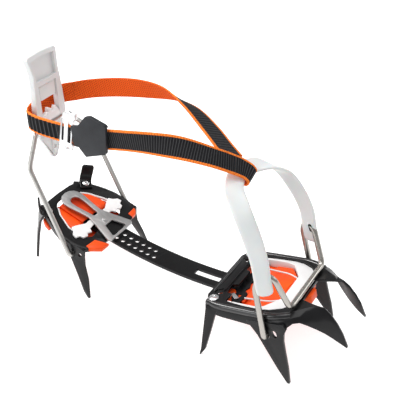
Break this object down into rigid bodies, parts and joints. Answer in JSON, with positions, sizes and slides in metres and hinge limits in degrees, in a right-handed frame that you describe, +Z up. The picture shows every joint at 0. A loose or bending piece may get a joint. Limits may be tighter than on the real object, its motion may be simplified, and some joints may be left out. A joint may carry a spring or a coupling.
{
  "type": "crampon",
  "caption": "Strap-on steel crampon with front and heel sections on a curved linking bar, wire toe bail with plastic harness, heel bail lever, anti-snow plates and ankle strap.",
  "frame": {"origin": "centre of the bounding box in plan, on the ground the points stand on", "axes": "+X towards the toe, +Y towards the wearer's left, +Z up"},
  "size_m": [0.2882, 0.0998, 0.1894],
  "materials": {
    "dark_steel": "semi-matte dark coating with polished highlights",
    "black_steel": "matte black coating",
    "satin_wire": "satin stainless wire",
    "bright_rivet": "bright",
    "orange_plate": "soft moulded plastic, satin",
    "white_plate": "satin",
    "milky_plastic": "smooth flexible plastic",
    "lever_plastic": "satin moulded plastic",
    "webbing": "ribbed woven webbing, black outside, orange edges and inner face",
    "bright_buckle": "bright cast metal",
    "charcoal_rubber": "matte moulded rubber"
  },
  "bodies": {
    "front_section": {"front_frame": "dark_steel", "front_rivet_left": "bright_rivet", "front_rivet_right": "bright_rivet", "front_antisnow_plate": "orange_plate", "front_antisnow_insert": "white_plate", "linking_bar": "black_steel", "bar_keeper": "bright_rivet"},
    "heel_section": {"heel_frame": "dark_steel", "heel_antisnow_plate": "orange_plate", "heel_antisnow_corner_left": "white_plate", "heel_antisnow_corner_right": "white_plate", "heel_tab_left": "black_steel", "heel_tab_right": "black_steel", "heel_rivet_left": "bright_rivet", "heel_rivet_right": "bright_rivet"},
    "clip": {"adjuster_clip": "satin_wire"},
    "heel_bail": {"heel_bail": "satin_wire"},
    "strap_heel": {"strap_heel_loop": "webbing", "strap_far_run": "webbing", "strap_near_run": "webbing", "strap_buckle": "bright_buckle", "strap_tag": "charcoal_rubber"},
    "lever": {"lever_body": "lever_plastic", "lever_panel": "lever_plastic", "lever_crown": "white_plate", "lever_claw": "lever_plastic"},
    "strap_toe": {"strap_toe_loop": "webbing"},
    "toe_bail": {"toe_bail": "satin_wire"},
    "harness": {"toe_harness": "milky_plastic"}
  },
  "joints": [
    {"name": "size_adjust", "type": "hinge", "parent": "front_section", "child": "heel_section", "pos_m": [0.00224, 0, 0.37693], "axis": [0, -1, 0], "range_deg": [-2, 6]},
    {"name": "clip_lift", "type": "hinge", "parent": "heel_section", "child": "clip", "pos_m": [-0.06437, 0, 0.04288], "axis": [0, 1, 0], "range_deg": [0, 25], "stiffness_Nm_per_rad": 0.2},
    {"name": "heel_bail_swing", "type": "hinge", "parent": "heel_section", "child": "heel_bail", "pos_m": [-0.087, 0, 0.03558], "axis": [0, 1, 0], "range_deg": [-14, 0]},
    {"name": "strap_level", "type": "hinge", "parent": "heel_bail", "child": "strap_heel", "pos_m": [-0.12637, 0, 0.12943], "axis": [0, 1, 0], "range_deg": [-0.5, 14.5]},
    {"name": "lever_tilt", "type": "hinge", "parent": "strap_heel", "child": "lever", "pos_m": [-0.12637, 0, 0.12943], "axis": [0, 1, 0], "range_deg": [-60, 0], "deforming": ["strap_heel_loop"]},
    {"name": "strap_take_up", "type": "slide", "parent": "strap_heel", "child": "strap_toe", "axis": [0.9827, 0, 0.185], "range_m": [-0.0258, 0.0088], "deforming": ["strap_near_run", "strap_far_run"]},
    {"name": "toe_bail_swing", "type": "hinge", "parent": "front_section", "child": "toe_bail", "pos_m": [0.09056, 0, 0.03523], "axis": [0, 1, 0], "range_deg": [-14, 0.5]},
    {"name": "harness_swing", "type": "hinge", "parent": "toe_bail", "child": "harness", "pos_m": [0.08674, 0, 0.08513], "axis": [0, 1, 0], "range_deg": [-0.5, 2], "deforming": ["strap_toe_loop"]}
  ],
  "couplings": [
    {"joint": "strap_level", "follows": "heel_bail_swing", "ratio": -1},
    {"joint": "strap_take_up", "follows": "size_adjust", "m_per_rad": -0.243},
    {"joint": "toe_bail_swing", "follows": "heel_bail_swing", "ratio": 0.959},
    {"joint": "harness_swing", "follows": "heel_bail_swing", "ratio": -0.106}
  ]
}
